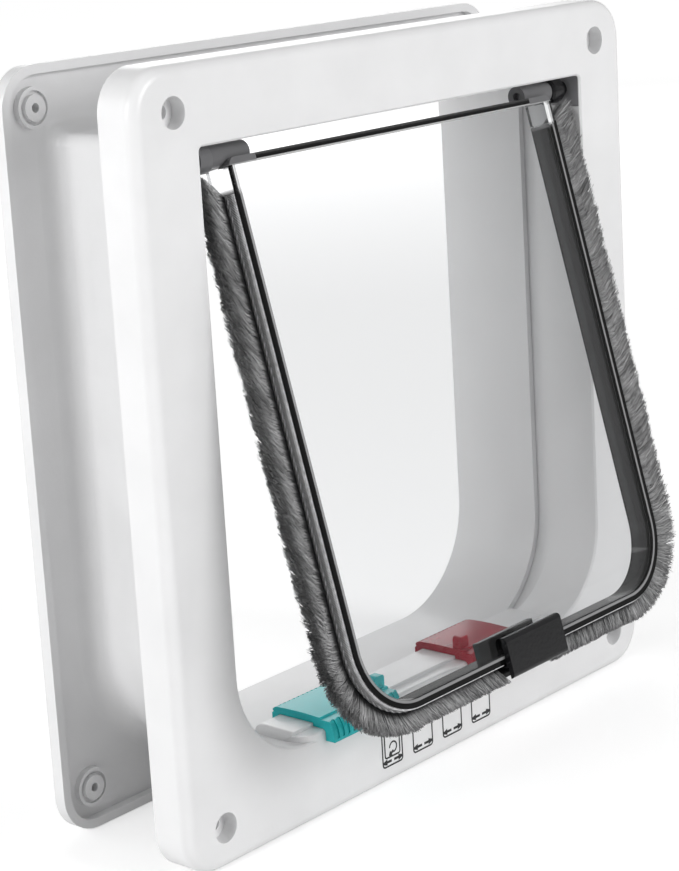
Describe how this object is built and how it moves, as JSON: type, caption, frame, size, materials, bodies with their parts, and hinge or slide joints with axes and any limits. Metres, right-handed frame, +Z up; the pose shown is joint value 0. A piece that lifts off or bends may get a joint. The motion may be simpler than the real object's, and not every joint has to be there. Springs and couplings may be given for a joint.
{
  "type": "cat flap",
  "caption": "Square pet flap for a door: two telescoping white frames, a clear swinging flap with brush seals and a magnet clip, and two coloured sliding latches on the sill.",
  "frame": {"origin": "centre of the four front screw holes, on the front frame's front face", "axes": "+X to the right seen from the front, +Y from the front face towards the rear frame, +Z up"},
  "size_m": [0.233, 0.1026, 0.2348],
  "materials": {
    "white_plastic": "satin moulded white plastic",
    "clear_plastic": "clear, lightly smoked, polished",
    "black_plastic": "gloss black",
    "grey_plastic": "satin grey",
    "green_plastic": "gloss blue-green",
    "red_plastic": "gloss dark red",
    "pin_steel": "drawn steel wire",
    "magnet": "pressed ferrite, dark grey",
    "seal_backing": "pale woven strip",
    "seal_pile": "dense grey brush pile"
  },
  "bodies": {
    "frame": {"front_frame": "white_plastic", "sill_magnet": "magnet", "left_hinge_pin": "pin_steel", "right_hinge_pin": "pin_steel", "left_hinge_collar": "black_plastic", "right_hinge_collar": "black_plastic", "left_hinge_keeper": "grey_plastic", "right_hinge_keeper": "grey_plastic"},
    "flap": {"flap": "clear_plastic", "magnet_clip": "black_plastic", "flap_magnet": "magnet", "left_seal_backing": "seal_backing", "right_seal_backing": "seal_backing", "left_seal_pile": "seal_pile", "right_seal_pile": "seal_pile"},
    "green_latch": {"green_latch": "green_plastic"},
    "red_latch": {"red_latch": "red_plastic"},
    "rear_frame": {"rear_frame": "white_plastic"}
  },
  "joints": [
    {"name": "flap_swing", "type": "hinge", "parent": "frame", "child": "flap", "pos_m": [0, 0.008, 0.0892], "axis": [1, 0, 0], "range_deg": [-45, 74]},
    {"name": "green_latch_slide", "type": "slide", "parent": "frame", "child": "green_latch", "axis": [1, 0, 0], "range_m": [-0.004, 0.0175]},
    {"name": "red_latch_slide", "type": "slide", "parent": "frame", "child": "red_latch", "axis": [1, 0, 0], "range_m": [-0.008, 0.018]},
    {"name": "rear_frame_slide", "type": "slide", "parent": "frame", "child": "rear_frame", "axis": [0, 1, 0], "range_m": [-0.007, 0.0034]}
  ]
}
